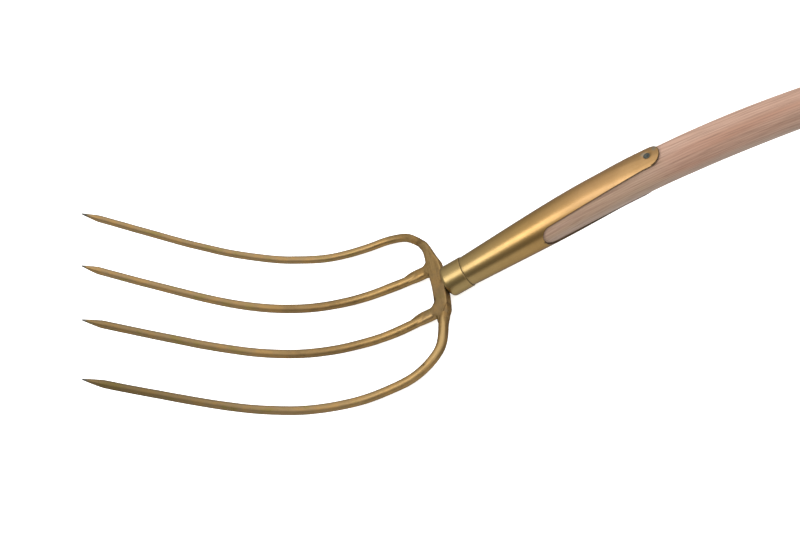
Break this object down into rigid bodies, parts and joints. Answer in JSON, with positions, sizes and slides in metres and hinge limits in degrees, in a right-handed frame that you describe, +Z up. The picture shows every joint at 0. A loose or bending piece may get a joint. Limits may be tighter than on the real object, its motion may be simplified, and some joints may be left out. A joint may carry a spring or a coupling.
{
  "type": "manure fork",
  "caption": "Long manure fork with dished pointed tines on a forged crown, and a bent wooden handle held in a capped and strapped steel socket.",
  "frame": {"origin": "on the floor under the middle of the fork's bounding box, as it lies on its back on the bellies of the tines and the edge of the butt", "axes": "+X along the floor from the tines to the butt of the handle, +Y to the right of a person who holds the handle and faces the tines, +Z up, on the hollow side of the tines"},
  "size_m": [1.6618, 0.2266, 0.1716],
  "materials": {
    "forged_bronze": "satin bronze paint on forged steel",
    "bronze_sheet": "satin bronze paint on sheet steel",
    "ash_wood": "bare sanded ash",
    "nail_steel": "dull dark steel"
  },
  "bodies": {
    "root": {"crown": "forged_bronze", "tine_outer_left": "forged_bronze", "tine_inner_left": "forged_bronze", "tine_inner_right": "forged_bronze", "tine_outer_right": "forged_bronze", "ferrule_cap": "bronze_sheet", "socket": "bronze_sheet", "handle": "ash_wood", "front_strap_nail": "nail_steel", "back_strap_nail": "nail_steel"}
  },
  "joints": []
}
